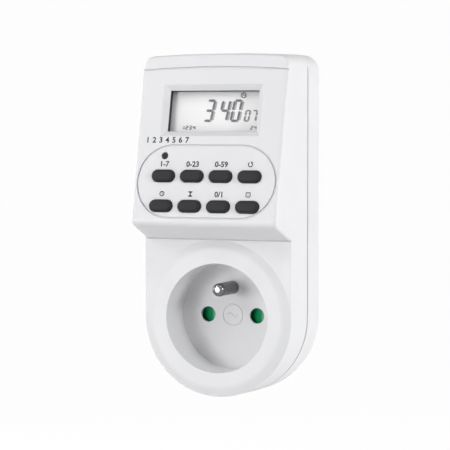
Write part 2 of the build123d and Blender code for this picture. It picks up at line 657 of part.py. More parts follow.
def power_electronics():
    board = block(-POWER_BOARD_HALF_WIDTH, POWER_BOARD_HALF_WIDTH, POWER_BOARD_LOW_Z, POWER_BOARD_HIGH_Z,
                  POWER_BOARD, POWER_BOARD_FRONT)
    for x, z in POWER_POSTS:
        board -= rod(x, z, BOARD_SCREW_R + RUN_GAP, POWER_BOARD - PAST, POWER_BOARD_FRONT + PAST)
    keep("power_board", board)
    on = POWER_BOARD_FRONT
    (x, z), (width, height, rise) = FILM_AT, FILM_SIZE
    film = block(x - width / 2, x + width / 2, z - height / 2, z + height / 2, on, on + rise)
    keep("film_capacitor", fillet(film.faces().sort_by(Axis.Y)[0].edges(), EDGE_R))
    cans = []
    for x, z, radius, rise in CANS:
        can = rod(x, z, radius, on, on + rise)
        cans.append(fillet(can.edges().sort_by(Axis.Y)[0], EDGE_R))
    keep("electrolytic_capacitors", Compound(cans))

    x, z = VARISTOR_AT
    disc = lying_rod(x, z, on + VARISTOR_LIFT + VARISTOR_R, VARISTOR_R, VARISTOR_THICKNESS)
    disc = fillet(disc.edges(), EDGE_R)
    for side in (-1, 1):
        disc += rod(x, z + side * VARISTOR_R / 2, LEG_R, on, on + VARISTOR_LIFT + VARISTOR_R / 2)
    keep("varistor", disc)
    x, z = FUSE_AT
    fuse = fillet(lying_rod(x, z, on + LIE_LIFT + FUSE_R, FUSE_R, FUSE_LENGTH).edges(), EDGE_R)
    keep("fuse_resistor", fuse + leg_pair(x, z, FUSE_LENGTH, LIE_LIFT + FUSE_R))
    diodes = []
    for i in range(DIODE_COUNT):
        x, z = DIODE_AT[0], DIODE_AT[1] + i * DIODE_PITCH
        body = lying_rod(x, z, on + LIE_LIFT + DIODE_R, DIODE_R, DIODE_LENGTH)
        diodes.append(body + leg_pair(x, z, DIODE_LENGTH, LIE_LIFT + DIODE_R))
    keep("rectifier_diodes", Compound(diodes))

    # a row of pins between the two boards, in a block on the power board
    x, z = LINK_AT
    half = LINK_PINS * LINK_PITCH / 2
    link = block(x - half, x + half, z - LINK_BLOCK / 2, z + LINK_BLOCK / 2, on, on + LINK_BLOCK)
    reach_t = BOARD_BACK_T - SEAT_GAP
    behind_board = side_prism([head_point(-FAR, reach_t), head_point(FAR, reach_t), (0, FAR), (0, -FAR)])
    for i in range(LINK_PINS):
        link += rod(x + (i - (LINK_PINS - 1) / 2) * LINK_PITCH, z, LEG_R, on, HEAD_DEPTH) & behind_board
    keep("board_link", link)


def relay():
    on = POWER_BOARD_FRONT
    left, right = RELAY_X - RELAY_WIDTH / 2, RELAY_X + RELAY_WIDTH / 2
    low, high = RELAY_Z - RELAY_HEIGHT / 2, RELAY_Z + RELAY_HEIGHT / 2
    top = on + RELAY_BASE
    keep("relay_base", block(left, right, low, high, on, top))
    wall = RELAY_COVER_WALL
    cover_top = on + RELAY_DEPTH
    cover = block(left, right, low, high, top, cover_top)
    cover = fillet(cover.faces().sort_by(Axis.Y)[0].edges(), EDGE_R)
    keep("relay_cover", cover - block(left + wall, right - wall, low + wall, high - wall, top, cover_top - wall))
    leg = left + wall + YOKE_SIDE_GAP
    pole_end = top + YOKE_HEIGHT
    half = COIL_R
    coil_x = leg + YOKE_THICKNESS + RUN_GAP + COIL_R
    yoke = block(leg, leg + YOKE_THICKNESS, RELAY_Z - half, RELAY_Z + half, top, pole_end)
    yoke += block(leg, coil_x + COIL_R / 2, RELAY_Z - half, RELAY_Z + half, top, top + YOKE_THICKNESS)
    yoke += rod(coil_x, RELAY_Z, CORE_R, top, pole_end)
    keep("relay_yoke", yoke)
    coil_foot = top + YOKE_THICKNESS + COIL_FOOT_GAP
    keep("relay_coil", rod(coil_x, RELAY_Z, COIL_R, coil_foot, pole_end - COIL_HEAD_GAP) - rod(
        coil_x, RELAY_Z, CORE_R + SEAT_GAP, top, pole_end))

    hinge_x = leg + YOKE_THICKNESS / 2
    plate = pole_end + ARMATURE_GAP
    plate_end = coil_x + COIL_R
    contact_x = right - wall - CONTACT_INSET
    strip_low, strip_high = RELAY_Z - SPRING_STRIP_WIDTH / 2, RELAY_Z + SPRING_STRIP_WIDTH / 2
    armature = block(leg, plate_end, RELAY_Z - half, RELAY_Z + half, plate, plate + ARMATURE_THICKNESS)
    strip_top = plate + ARMATURE_THICKNESS + SPRING_STRIP
    strip = block(coil_x, contact_x + CONTACT_R, strip_low, strip_high, plate + ARMATURE_THICKNESS, strip_top)
    contact_low = plate + ARMATURE_THICKNESS - CONTACT_HEIGHT
    strip += rod(contact_x, RELAY_Z, CONTACT_R, contact_low, strip_top + CONTACT_RIVET)
    hinge = Axis((hinge_x, -plate, RELAY_Z), (0, 0, 1))
    keep("relay_armature", armature.rotate(hinge, -ARMATURE_OPEN))
    keep("relay_moving_contact", strip.rotate(hinge, -ARMATURE_OPEN))
    # the fixed contact waits just behind the closed position of the moving one
    fixed_top = contact_low - SEAT_GAP
    shelf = fixed_top - CONTACT_HEIGHT
    post_x = contact_x + CONTACT_R + RUN_GAP
    post_end = post_x + FIXED_STRIP
    fixed = block(post_x, post_end, strip_low, strip_high, top, shelf)
    fixed += block(contact_x - CONTACT_R, post_end, strip_low, strip_high, shelf - FIXED_STRIP, shelf)
    fixed += rod(contact_x, RELAY_Z, CONTACT_R, shelf, fixed_top)
    keep("relay_fixed_contact", fixed)
    print("armature hinge x, y, z", round(hinge_x, 3), round(-plate, 3), RELAY_Z)


# Levels and bounds of the carrier and the shutter that slides in it
CARRIER_FRONT = FLOOR_BACK - SHUTTER_SPACE
CARRIER_BACK = CARRIER_FRONT - CARRIER_PLATE
CARRIER_R = WELL_R - CARRIER_STEP
# the carrier stands on four posts round the mouth of the boss
CARRIER_POST_AT = BOSS_BORE_R + RUN_GAP + CARRIER_POST_R
CARRIER_POSTS = [(-CARRIER_POST_AT, 0), (CARRIER_POST_AT, 0), (0, -CARRIER_POST_AT), (0, CARRIER_POST_AT)]
SHUTTER_HALF = PIN_HOLE_R + SHUTTER_OVERLAP
SHUTTER_TRAVEL = PIN_R + SHUTTER_HALF + SLIDE_GAP
WINDOW_LEFT = STOP_LEFT - SPRING_LENGTH
WINDOW_RIGHT = STOP_LEFT + STOP_WIDTH + RUN_GAP
CLIP_END = CLIP_LEG_DEPTH + CLIP_THICKNESS
# the clip's corners stay within the boss's circle, and its leg's within the bore's
CLIP_BED = sqrt(BOSS_R**2 - (CLIP_WIDTH / 2) ** 2) - CLIP_THICKNESS - SEAT_GAP
CLIP_LEG_IN = sqrt(BOSS_BORE_R**2 - (CLIP_WIDTH / 2) ** 2) - CLIP_THICKNESS - SEAT_GAP
STRAP_BACK = CARRIER_BACK - STRAP_DROP
SLIDER_LOW = -SHUTTER_HALF - BAR_HEIGHT
SPRING_Z = -SHUTTER_HALF - BAR_HEIGHT / 2
SLEEVE_R = SLEEVE_BORE_R + SLEEVE_WALL
SLEEVE_FRONT = CARRIER_BACK - 2 * SEAT_GAP
SLEEVE_BACK = SLEEVE_FRONT - SLEEVE_LENGTH
CHAMBER_R = SLEEVE_R + SEAT_GAP


def shutter():
    """A slider with two ramped blades: pins that push on both ramps at once move it towards +X."""
    plate_back = CARRIER_FRONT + SLIDE_GAP
    plate_front = plate_back + SHUTTER_PLATE
    top = FLOOR_BACK - SLIDE_GAP
    body = block(-PIN_X - SHUTTER_HALF, PIN_X + SHUTTER_HALF, SLIDER_LOW, -SHUTTER_HALF, plate_back, top)
    middle = (WINDOW_LEFT + WINDOW_RIGHT) / 2
    window = Pos(middle, SPRING_Z) * Rectangle(WINDOW_RIGHT - WINDOW_LEFT, SPRING_WINDOW_HEIGHT)
    body -= prism(window, plate_back - PAST, top + PAST)
    for side in (-1, 1):
        at = side * PIN_X
        left, right = at - SHUTTER_HALF, at + SHUTTER_HALF
        ramp = make_face(Polyline(
            (left, -plate_back), (left, -plate_front), (at + SHUTTER_HALF / 2, -top), (right, -top),
            (right, -plate_back), close=True))
        body += Pos(0, 0, -SHUTTER_HALF) * extrude(Plane.XY * ramp, amount=2 * SHUTTER_HALF)
    # at the end of its travel the slider stays inside the carrier's rim
    body &= rod(-SHUTTER_TRAVEL, 0, CARRIER_R - CARRIER_RIM - RUN_GAP, plate_back - PAST, top + PAST)
    keep("shutter", body)

    # the return spring, in half turns, from the slider's window to the carrier's stop
    start = WINDOW_LEFT + 0.5 * SEAT_GAP + SPRING_WIRE_R
    length = STOP_LEFT - 0.5 * SEAT_GAP - SPRING_WIRE_R - start
    step = length / (2 * SPRING_TURNS)
    # each half turn is half a circle in a slanted plane, so that the turns join smoothly
    bow = sqrt(SPRING_R**2 + (step / 2) ** 2)
    axis_y = -(plate_back + top) / 2
    arcs = []
    for i in range(2 * SPRING_TURNS):
        side = 1 if i % 2 == 0 else -1
        x0 = start + i * step
        arcs.append(ThreePointArc(
            (x0, axis_y, SPRING_Z + side * SPRING_R), (x0 + step / 2, axis_y + side * bow, SPRING_Z),
            (x0 + step, axis_y, SPRING_Z - side * SPRING_R)))
    path = Wire(arcs)
    section = Plane(origin=path @ 0, z_dir=path % 0) * Circle(SPRING_WIRE_R)
    keep("shutter_spring", sweep(section, path=path))


def socket_carrier():
    plate = rod(0, 0, CARRIER_R, CARRIER_BACK, CARRIER_FRONT)
    rim = rod(0, 0, CARRIER_R, CARRIER_FRONT, FLOOR_BACK)
    rim -= rod(0, 0, CARRIER_R - CARRIER_RIM, CARRIER_FRONT - PAST, FLOOR_BACK + PAST)
    inside = rod(0, 0, CARRIER_R - CARRIER_RIM / 2, CARRIER_FRONT - PAST, FLOOR_BACK - SLIDE_GAP)
    body = plate + rim
    upper = SHUTTER_HALF + SLIDE_GAP
    lower = SLIDER_LOW - SLIDE_GAP
    rail_top = FLOOR_BACK - SLIDE_GAP
    for z0 in (upper, lower - RAIL_HEIGHT):
        body += block(-FAR, FAR, z0, z0 + RAIL_HEIGHT, CARRIER_FRONT - PAST, rail_top) & inside
    stop_half = SPRING_WINDOW_HEIGHT / 2 - SLIDE_GAP
    body += block(STOP_LEFT, STOP_LEFT + STOP_WIDTH, SPRING_Z - stop_half, SPRING_Z + stop_half,
                  CARRIER_FRONT - PAST, rail_top)
    chamber_back = SLEEVE_BACK - CHAMBER_TAIL
    for side in (-1, 1):
        body += rod(side * PIN_X, 0, CHAMBER_R + CHAMBER_WALL, chamber_back, CARRIER_BACK)
    for side in (-1, 1):
        body -= rod(side * PIN_X, 0, PIN_HOLE_R, CARRIER_BACK - PAST, CARRIER_FRONT + PAST)
        body -= rod(side * PIN_X, 0, CHAMBER_R, chamber_back - PAST, CARRIER_BACK - SEAT_GAP)
        # a window in the chamber's upper side lets the contact's lead out
        half = LEAD_R + RUN_GAP
        body -= block(side * PIN_X - half, side * PIN_X + half, 0, CHAMBER_R + 2 * CHAMBER_WALL,
                      LEAD_DEPTH - half, LEAD_DEPTH + half)
    body -= rod(0, EARTH_Z, EARTH_NECK_R + SEAT_GAP, CARRIER_BACK - PAST, FLOOR_BACK + PAST)
    keep("socket_carrier", body)


# Leads run upwards between the rear wall and the carrier
LEAD_DEPTH = REAR_INSIDE + 2 * LEAD_R
LEAD_END_Z = POWER_BOARD_LOW_Z + LEAD_END_INSET
LIVE_LEAD_X = -PIN_X - LIVE_LEAD_OFFSET
LIVE_LEAD_Z = sqrt((BOSS_BORE_R - LEAD_R - LIVE_LEAD_CLEARANCE) ** 2 - LIVE_LEAD_X**2)


def contacts():
    for name, side in (("live_contact", -1), ("neutral_contact", 1)):
        sleeve = rod(side * PIN_X, 0, SLEEVE_R, SLEEVE_BACK, SLEEVE_FRONT)
        sleeve -= rod(side * PIN_X, 0, SLEEVE_BORE_R, SLEEVE_BACK + PAST, SLEEVE_FRONT + PAST)
        sleeve -= block(side * PIN_X - SLEEVE_SLOT / 2, side * PIN_X + SLEEVE_SLOT / 2, -SLEEVE_R - PAST, 0,
                        SLEEVE_BACK + SLEEVE_HEEL, SLEEVE_FRONT + PAST)
        keep(name, sleeve)
    for name, side in (("live_plug_pin", -1), ("neutral_plug_pin", 1)):
        x = side * PIN_X
        pin = rod(x, 0, PIN_R, -PLUG_PIN_LENGTH, 0)
        pin = fillet(pin.edges().sort_by(Axis.Y)[-1], PLUG_PIN_TIP_R)
        pin += rod(x, 0, PIN_SHOULDER_R, 0, BOSS_FACE)
        pin += rod(x, 0, PIN_TAIL_R, BOSS_FACE, BOSS_FACE + PIN_TAIL_LENGTH)
        if side < 0:
            lug = BOSS_FACE + PIN_TAIL_LENGTH / 2
            pin += block(LIVE_LEAD_X - LEAD_R, x, -PIN_TAIL_R, PIN_TAIL_R,
                         lug - LUG_THICKNESS / 2, lug + LUG_THICKNESS / 2)
        keep(name, pin)
    keep("neutral_link", rod(PIN_X, 0, PIN_TAIL_R, BOSS_FACE + PIN_TAIL_LENGTH, SLEEVE_BACK))

    # the earth pin stands on the floor, and its neck goes through to a foot riveted to the strap
    pin = rod(0, EARTH_Z, PIN_R, FLOOR, FLOOR + EARTH_PIN_LENGTH)
    pin = fillet(pin.edges().sort_by(Axis.Y)[0], EARTH_PIN_TIP_R)
    pin += rod(0, EARTH_Z, EARTH_NECK_R, STRAP_BACK + STRAP_THICKNESS, FLOOR)
    pin += rod(0, EARTH_Z, EARTH_FOOT_R, STRAP_BACK + STRAP_THICKNESS, CARRIER_BACK)
    keep("earth_pin", pin)
    reach = CLIP_LEG_IN + CLIP_THICKNESS
    keep("earth_strap", block(-STRAP_WIDTH / 2, STRAP_WIDTH / 2, -reach, reach,
                              STRAP_BACK, STRAP_BACK + STRAP_THICKNESS))
    sleeve = rod(0, EARTH_Z, SLEEVE_R, BOSS_FACE + SEAT_GAP, STRAP_BACK)
    sleeve -= rod(0, EARTH_Z, SLEEVE_BORE_R, BOSS_FACE, EARTH_PIN_LENGTH + BOSS_FACE)
    keep("rear_earth_sleeve", sleeve)
    for name, side in (("earth_clip_top", 1), ("earth_clip_bottom", -1)):
        bed = CLIP_BED + SEAT_GAP / 2
        spans = [
            (bed, bed + CLIP_THICKNESS, CLIP_START, CLIP_END),
            (CLIP_LEG_IN, bed, CLIP_LEG_DEPTH, CLIP_END),
            (CLIP_LEG_IN, reach, CLIP_LEG_DEPTH, STRAP_BACK),
        ]
        clip = None
        for z0, z1, d0, d1 in spans:
            low, high = sorted((side * z0, side * z1))
            piece = block(-CLIP_WIDTH / 2, CLIP_WIDTH / 2, low, high, d0, d1)
            clip = piece if clip is None else clip + piece
        keep(name, clip)


def lead(points, bends):
    """A round lead in a plane of constant X: straight runs joined by arcs."""
    x = points[0][0]
    path = FilletPolyline(*[(x, -depth, z) for _, depth, z in points], radius=bends)
    wire = Wire(path.edges())
    return sweep(Plane(origin=wire @ 0, z_dir=wire % 0) * Circle(LEAD_R), path=wire)


def leads():
    lug = BOSS_FACE + PIN_TAIL_LENGTH / 2
    x = LIVE_LEAD_X
    keep("live_lead", lead(
        [(x, lug, PIN_TAIL_R), (x, lug, LIVE_LEAD_Z), (x, LEAD_DEPTH, LIVE_LEAD_Z), (x, LEAD_DEPTH, LEAD_END_Z),
         (x, POWER_BOARD, LEAD_END_Z)], [LEAD_BEND, LEAD_BEND, LEAD_END_BEND]))
    for name, side in (("load_lead", -1), ("neutral_lead", 1)):
        x = side * PIN_X
        keep(name, lead([(x, LEAD_DEPTH, SLEEVE_R), (x, LEAD_DEPTH, LEAD_END_Z), (x, POWER_BOARD, LEAD_END_Z)],
                        [LEAD_END_BEND]))


def main():
    front_housing()
    rear_housing()
    fasteners()
    keys()
    keypad_mat()
    display()
    control_electronics()
    power_electronics()
    relay()
    socket_carrier()
    shutter()
    contacts()
    leads()
    os.makedirs("parts", exist_ok=True)
    for name, shape in PARTS.items():
        export_step(shape, f"parts/{name}.step")
    print(len(PARTS), "nodes")


main()
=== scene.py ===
import json
from math import cos, pi, radians, sin

import bmesh
import bpy
from mathutils import Matrix, Vector

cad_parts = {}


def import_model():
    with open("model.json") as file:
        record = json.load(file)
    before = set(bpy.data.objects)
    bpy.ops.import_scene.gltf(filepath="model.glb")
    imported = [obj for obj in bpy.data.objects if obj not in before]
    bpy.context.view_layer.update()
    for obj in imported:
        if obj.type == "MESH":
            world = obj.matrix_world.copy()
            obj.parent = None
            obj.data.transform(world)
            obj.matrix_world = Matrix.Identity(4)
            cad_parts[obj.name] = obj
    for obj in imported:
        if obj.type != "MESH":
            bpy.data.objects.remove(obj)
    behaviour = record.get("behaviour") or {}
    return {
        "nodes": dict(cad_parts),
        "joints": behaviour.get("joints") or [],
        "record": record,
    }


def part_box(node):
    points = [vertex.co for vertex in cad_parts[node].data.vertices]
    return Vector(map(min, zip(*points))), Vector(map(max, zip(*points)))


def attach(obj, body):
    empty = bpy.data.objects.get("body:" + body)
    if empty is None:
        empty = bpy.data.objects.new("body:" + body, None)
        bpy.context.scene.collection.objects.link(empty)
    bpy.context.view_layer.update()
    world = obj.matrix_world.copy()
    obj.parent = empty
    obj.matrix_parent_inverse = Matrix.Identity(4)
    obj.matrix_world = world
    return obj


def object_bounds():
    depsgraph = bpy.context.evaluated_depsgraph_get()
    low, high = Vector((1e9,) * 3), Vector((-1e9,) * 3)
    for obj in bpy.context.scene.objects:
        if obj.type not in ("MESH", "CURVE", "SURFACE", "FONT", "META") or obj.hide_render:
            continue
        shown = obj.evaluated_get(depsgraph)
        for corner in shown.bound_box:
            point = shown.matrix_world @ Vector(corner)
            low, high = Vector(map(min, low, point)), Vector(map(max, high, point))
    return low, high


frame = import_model()
cad_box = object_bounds()
nodes = frame["nodes"]
MM = 0.001

# Moulded plastic: its refractive index, and how many features per metre its textures have
PLASTIC_IOR = 1.46
TINT_SCALE = 45.0
GLOSS_SCALE = 120.0
GRAIN_SCALE = 5200.0

# Most values of a noise lie between these two
NOISE_LOW = 0.3
NOISE_HIGH = 0.7
ALONG_Y = (1, 0.1, 1)  # the stretch that draws a noise out along Y

# Camera: a long lens on the timer's right, level with the middle of the head, its turn and tilt in degrees
CAMERA_AT = (0.28622, -0.71532, 0.07048)
CAMERA_YAW = 22.924
CAMERA_DOWN = 2.932
CAMERA_LENS = 164.74

# Printed legends, in millimetres on the head: rises are from the middle of the key below
PRINT_THICKNESS = 0.04
FIGURE_SHARE = 0.7  # how much of a font's size its figures fill
FIGURE_BOLDNESS = 0.07
LEGEND_HEIGHT = 1.9
LEGEND_RISE = 4.35
STROKE = 0.32
MITRE_LIMIT = 0.4  # the sharpest corner of a stroke, as the cosine of half its turn
MERGE_DISTANCE = 0.002
ARC_STEPS = 24
RING_STEPS = 28
DOT_STEPS = 12
TITLE_FIGURES = "1 2 3 4 5 6 7"
TITLE_LEFT = 24.3
TITLE_RISE = 12.95
TITLE_HEIGHT = 1.95
TITLE_SPACING = 1.13

# Display digits: the middles of the figures, in millimetres from the middle of the glass
DIGIT_THICKNESS = 0.04
DIGIT_LEAN = 0.15
DIGIT_GAP_SHARE = 0.12
PRINT_CLEARANCE = 0.01
DIGIT_LEVEL = 0.78
DIGIT_HEIGHT = 8.1
DIGIT_WIDTH = 3.5
DIGIT_STROKE = 0.84
DIGITS_AT = (("3", -2.82), ("4", 3.0), ("0", 7.42))
SECONDS_LEVEL = -1.05
SECONDS_HEIGHT = 4.2
SECONDS_WIDTH = 1.95
SECONDS_STROKE = 0.46
SECONDS_AT = (("0", 11.7), ("7", 14.35))
SMALL_LEVEL = -5.35
SMALL_HEIGHT = 1.5
SMALL_WIDTH = 0.95
SMALL_STROKE = 0.3
SMALL_PITCH = 1.42
SMALL_ROWS = (("1234", -12.6), ("24", 13.75))
SIGN_AT = (9.7, 6.3)
SIGN_RADIUS = 0.85
# Painted shadows of the digits: light grey copies, shifted by these millimetres, laid on the reflector under
# the digits
SHADOW_OFFSET = (0.6, -0.12)
SMALL_SHADOW_OFFSET = (0.3, -0.06)

# Socket floor: it lies the earth pin's length behind the pin's tip, and carries a small raised wave
EARTH_PIN_LENGTH = 14.0
WAVE_LENGTH = 3.8
WAVE_AMPLITUDE = 0.75
WAVE_STEPS = 24
WAVE_STROKE = 0.3
WAVE_RAISE = 0.15

# Earth pin: the length of its polished tip, and the stretch over which the polish fades, in millimetres
PIN_TIP_LENGTH = 1.7
PIN_TIP_FADE = 0.5
PIN_TIP_ROUGHNESS = 0.08
PIN_SHANK_ROUGHNESS = 0.36

# Studio: lengths in metres, and how bright the floor and the backdrop are
FLOOR_DROP = 0.22
FLOOR_SIZE = 12.0
FLOOR_GLOW = 1.03
FLOOR_GLOW_SHARE = 0.95
FLOOR_PAINT = (0.86, 0.86, 0.86, 1)
BACKDROP = 0.982
AMBIENT = 0.04
LAMP_DISTANCE = 1.25
# Lamps round the timer: degrees to the right of straight ahead, degrees up, width in metres and watts
LAMPS = (
    ("key", -40, 34, 0.35, 3.4),
    ("front", -25, 2, 0.45, 5.1),
    ("left", -70, 5, 0.45, 2.6),
    ("high", 25, 58, 0.45, 3.0),
    ("right", 68, 14, 0.3, 5.2),
    ("side", 112, 5, 0.45, 7.5),
    ("back", 235, 12, 0.9, 6.0),
)


def srgb(red, green, blue):
    """A linear colour from the 0 to 255 values that a picture shows."""
    def linear(value):
        value /= 255
        return value / 12.92 if value <= 0.04045 else ((value + 0.055) / 1.055) ** 2.4
    return (linear(red), linear(green), linear(blue), 1.0)


class Shader:
    """A node material round one Principled shader, with short calls for its textures."""

    def __init__(self, name, roughness, metallic=0.0, **fixed):
        self.material = bpy.data.materials.new(name)
        self.material.use_nodes = True
        self.tree = self.material.node_tree
        self.shader = self.tree.nodes["Principled BSDF"]
        self.shader.inputs["Roughness"].default_value = roughness
        self.shader.inputs["Metallic"].default_value = metallic
        self.shader.inputs["IOR"].default_value = PLASTIC_IOR
        for socket, value in fixed.items():
            self.shader.inputs[socket.replace("_", " ")].default_value = value
        self.place = self.add("ShaderNodeTexCoord").outputs["Object"]
        self.normal = None

    def add(self, kind, **settings):
        """A new node of that kind, with its settings."""
        node = self.tree.nodes.new(kind)
        for key, value in settings.items():
            setattr(node, key, value)
        return node

    def link(self, output, target):
        self.tree.links.new(output, target)

    def noise(self, scale, detail=3.0, stretch=(1, 1, 1)):
        """A noise of that many features per metre: a stretch under 1 draws it out along that axis."""
        place = self.add("ShaderNodeMapping")
        place.inputs["Scale"].default_value = stretch
        self.link(self.place, place.inputs["Vector"])
        node = self.add("ShaderNodeTexNoise")
        node.inputs["Scale"].default_value = scale
        node.inputs["Detail"].default_value = detail
        self.link(place.outputs["Vector"], node.inputs["Vector"])
        return node.outputs["Fac"]

    def ramp(self, value, stops):
        """Colours that a value runs through, each with its place from 0 to 1."""
        node = self.add("ShaderNodeValToRGB")
        elements = node.color_ramp.elements
        while len(elements) < len(stops):
            elements.new(1.0)
        for element, (at, colour) in zip(elements, stops):
            element.position = at
            element.color = colour
        self.link(value, node.inputs["Fac"])
        return node.outputs["Color"]

    def mottle(self, colour, scale, spread):
        """Colours that drift about one colour, by up to a share of it."""
        low = tuple(c * (1 - spread) for c in colour[:3]) + (1.0,)
        high = tuple(min(c * (1 + spread), 1.0) for c in colour[:3]) + (1.0,)
        shade = self.ramp(self.noise(scale), [(NOISE_LOW, low), (NOISE_HIGH, high)])
        self.link(shade, self.shader.inputs["Base Color"])

    def vary_roughness(self, scale, low, high):
        """Gloss that drifts between two roughnesses."""
        node = self.add("ShaderNodeMapRange")
        node.inputs["From Min"].default_value = NOISE_LOW
        node.inputs["From Max"].default_value = NOISE_HIGH
        node.inputs["To Min"].default_value = low
        node.inputs["To Max"].default_value = high
        self.link(self.noise(scale), node.inputs["Value"])
        self.link(node.outputs["Result"], self.shader.inputs["Roughness"])

    def bump(self, height, strength, distance):
        """Relief on top of the relief that is already there, its depth in metres."""
        node = self.add("ShaderNodeBump")
        node.inputs["Strength"].default_value = strength
        node.inputs["Distance"].default_value = distance
        self.link(height, node.inputs["Height"])
        if self.normal is not None:
            self.link(self.normal, node.inputs["Normal"])
        self.normal = node.outputs["Normal"]
        self.link(self.normal, self.shader.inputs["Normal"])

    def soft_edges(self, radius):
        """Edges that catch the light as if they were rounded by that radius."""
        node = self.add("ShaderNodeBevel", samples=6)
        node.inputs["Radius"].default_value = radius
        self.normal = node.outputs["Normal"]
        self.link(self.normal, self.shader.inputs["Normal"])


def moulded(name, colour, roughness, grain=0.12, edge=0.0, mottling=0.02, **fixed):
    """Injection-moulded plastic with a fine spark-eroded grain and slightly uneven gloss."""
    made = Shader(name, roughness, **fixed)
    if edge:
        made.soft_edges(edge)
    made.mottle(colour, TINT_SCALE, mottling)
    made.vary_roughness(GLOSS_SCALE, roughness - 0.05, roughness + 0.07)
    made.bump(made.noise(GRAIN_SCALE, 2.0), grain, 0.02 * MM)
    return made.material


def metal(name, colour, roughness, stretch=(1, 1, 1), scratches=0.15):
    """Plated or drawn metal, with fine scratches along one direction."""
    made = Shader(name, roughness, metallic=1.0)
    made.mottle(colour, 300.0, 0.06)
    made.vary_roughness(700.0, roughness - 0.01, roughness + 0.03)
    made.bump(made.noise(2500.0, 2.0, stretch), scratches, 0.02 * MM)
    return made.material


def rubber(name, colour):
    """Matt silicone or foam with a fine skin."""
    made = Shader(name, 0.7, Sheen_Weight=0.15)
    made.mottle(colour, 260.0, 0.06)
    made.bump(made.noise(3600.0), 0.25, 0.03 * MM)
    return made.material


def earth_pin_metal():
    """Nickel plating: the shank is dull and finely turned, and the rounded tip is polished like a mirror."""
    made = Shader("nickel_pin", 0.3, metallic=1.0)
    tip_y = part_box("earth_pin")[0][1]
    along = made.add("ShaderNodeSeparateXYZ")
    made.link(made.place, along.inputs["Vector"])
    reach = made.add("ShaderNodeMapRange")
    reach.inputs["From Min"].default_value = tip_y + PIN_TIP_LENGTH * MM
    reach.inputs["From Max"].default_value = tip_y + (PIN_TIP_LENGTH + PIN_TIP_FADE) * MM
    made.link(along.outputs["Y"], reach.inputs["Value"])
    turned = made.noise(900.0, 2.0, (1, 6, 1))
    tone = made.ramp(turned, [(NOISE_LOW, srgb(106, 105, 105)), (NOISE_HIGH, srgb(130, 129, 128))])
    made.link(tone, made.shader.inputs["Base Color"])
    gloss = made.add("ShaderNodeMapRange")
    gloss.inputs["To Min"].default_value = PIN_TIP_ROUGHNESS
    gloss.inputs["To Max"].default_value = PIN_SHANK_ROUGHNESS
    made.link(reach.outputs["Result"], gloss.inputs["Value"])
    made.link(gloss.outputs["Result"], made.shader.inputs["Roughness"])
    made.bump(turned, 0.1, 0.03 * MM)
    return made.material


def clear_window_plastic():
    """Clear acrylic: nearly all of it lets light through, and the rest reflects."""
    made = Shader("clear_acrylic", 0.03, metallic=1.0, Alpha=0.035)
    made.mottle((0.98, 0.98, 0.98, 1.0), 30.0, 0.01)
    made.bump(made.noise(60.0, 1.0), 0.02, 0.01 * MM)
    return made.material


def display_glass():
    """The reflector behind the liquid crystal: pale grey with a fine grain."""
    made = Shader("display_glass", 0.7, Specular_IOR_Level=0.2)
    made.mottle(srgb(251, 251, 252), 60.0, 0.005)
    made.bump(made.noise(9000.0, 1.0), 0.1, 0.01 * MM)
    return made.material


def circuit_board():
    """Green solder mask with lighter copper tracks under it."""
    made = Shader("circuit_board", 0.35, Coat_Weight=0.3)
    tracks = made.add("ShaderNodeTexBrick", offset=0.37)
    tracks.inputs["Scale"].default_value = 180.0
    tracks.inputs["Mortar Size"].default_value = 0.05
    tracks.inputs["Color1"].default_value = srgb(22, 92, 48)
    tracks.inputs["Color2"].default_value = srgb(26, 100, 54)
    tracks.inputs["Mortar"].default_value = srgb(66, 140, 80)
    made.link(made.place, tracks.inputs["Vector"])
    made.link(tracks.outputs["Color"], made.shader.inputs["Base Color"])
    made.bump(tracks.outputs["Fac"], 0.3, 0.03 * MM)
    return made.material


def wound_wire():
    """Turns of enamelled copper wire, side by side."""
    made = Shader("wound_copper", 0.3, metallic=1.0)
    turns = made.add("ShaderNodeTexWave", wave_type="BANDS", bands_direction="Y")
    turns.inputs["Scale"].default_value = 900.0
    made.link(made.place, turns.inputs["Vector"])
    tone = made.ramp(turns.outputs["Fac"], [(0.0, srgb(120, 50, 20)), (1.0, srgb(214, 120, 66))])
    made.link(tone, made.shader.inputs["Base Color"])
    made.bump(turns.outputs["Fac"], 0.5, 0.08 * MM)
    return made.material


def ink(name, colour):
    """Pad-printed ink: dense, a little uneven where it was laid down. The display's painted shadows are
    drawn in it as well.
    """
    made = Shader(name, 0.55)
    made.mottle(colour, 900.0, 0.25)
    made.bump(made.noise(6000.0), 0.1, 0.01 * MM)
    return made.material


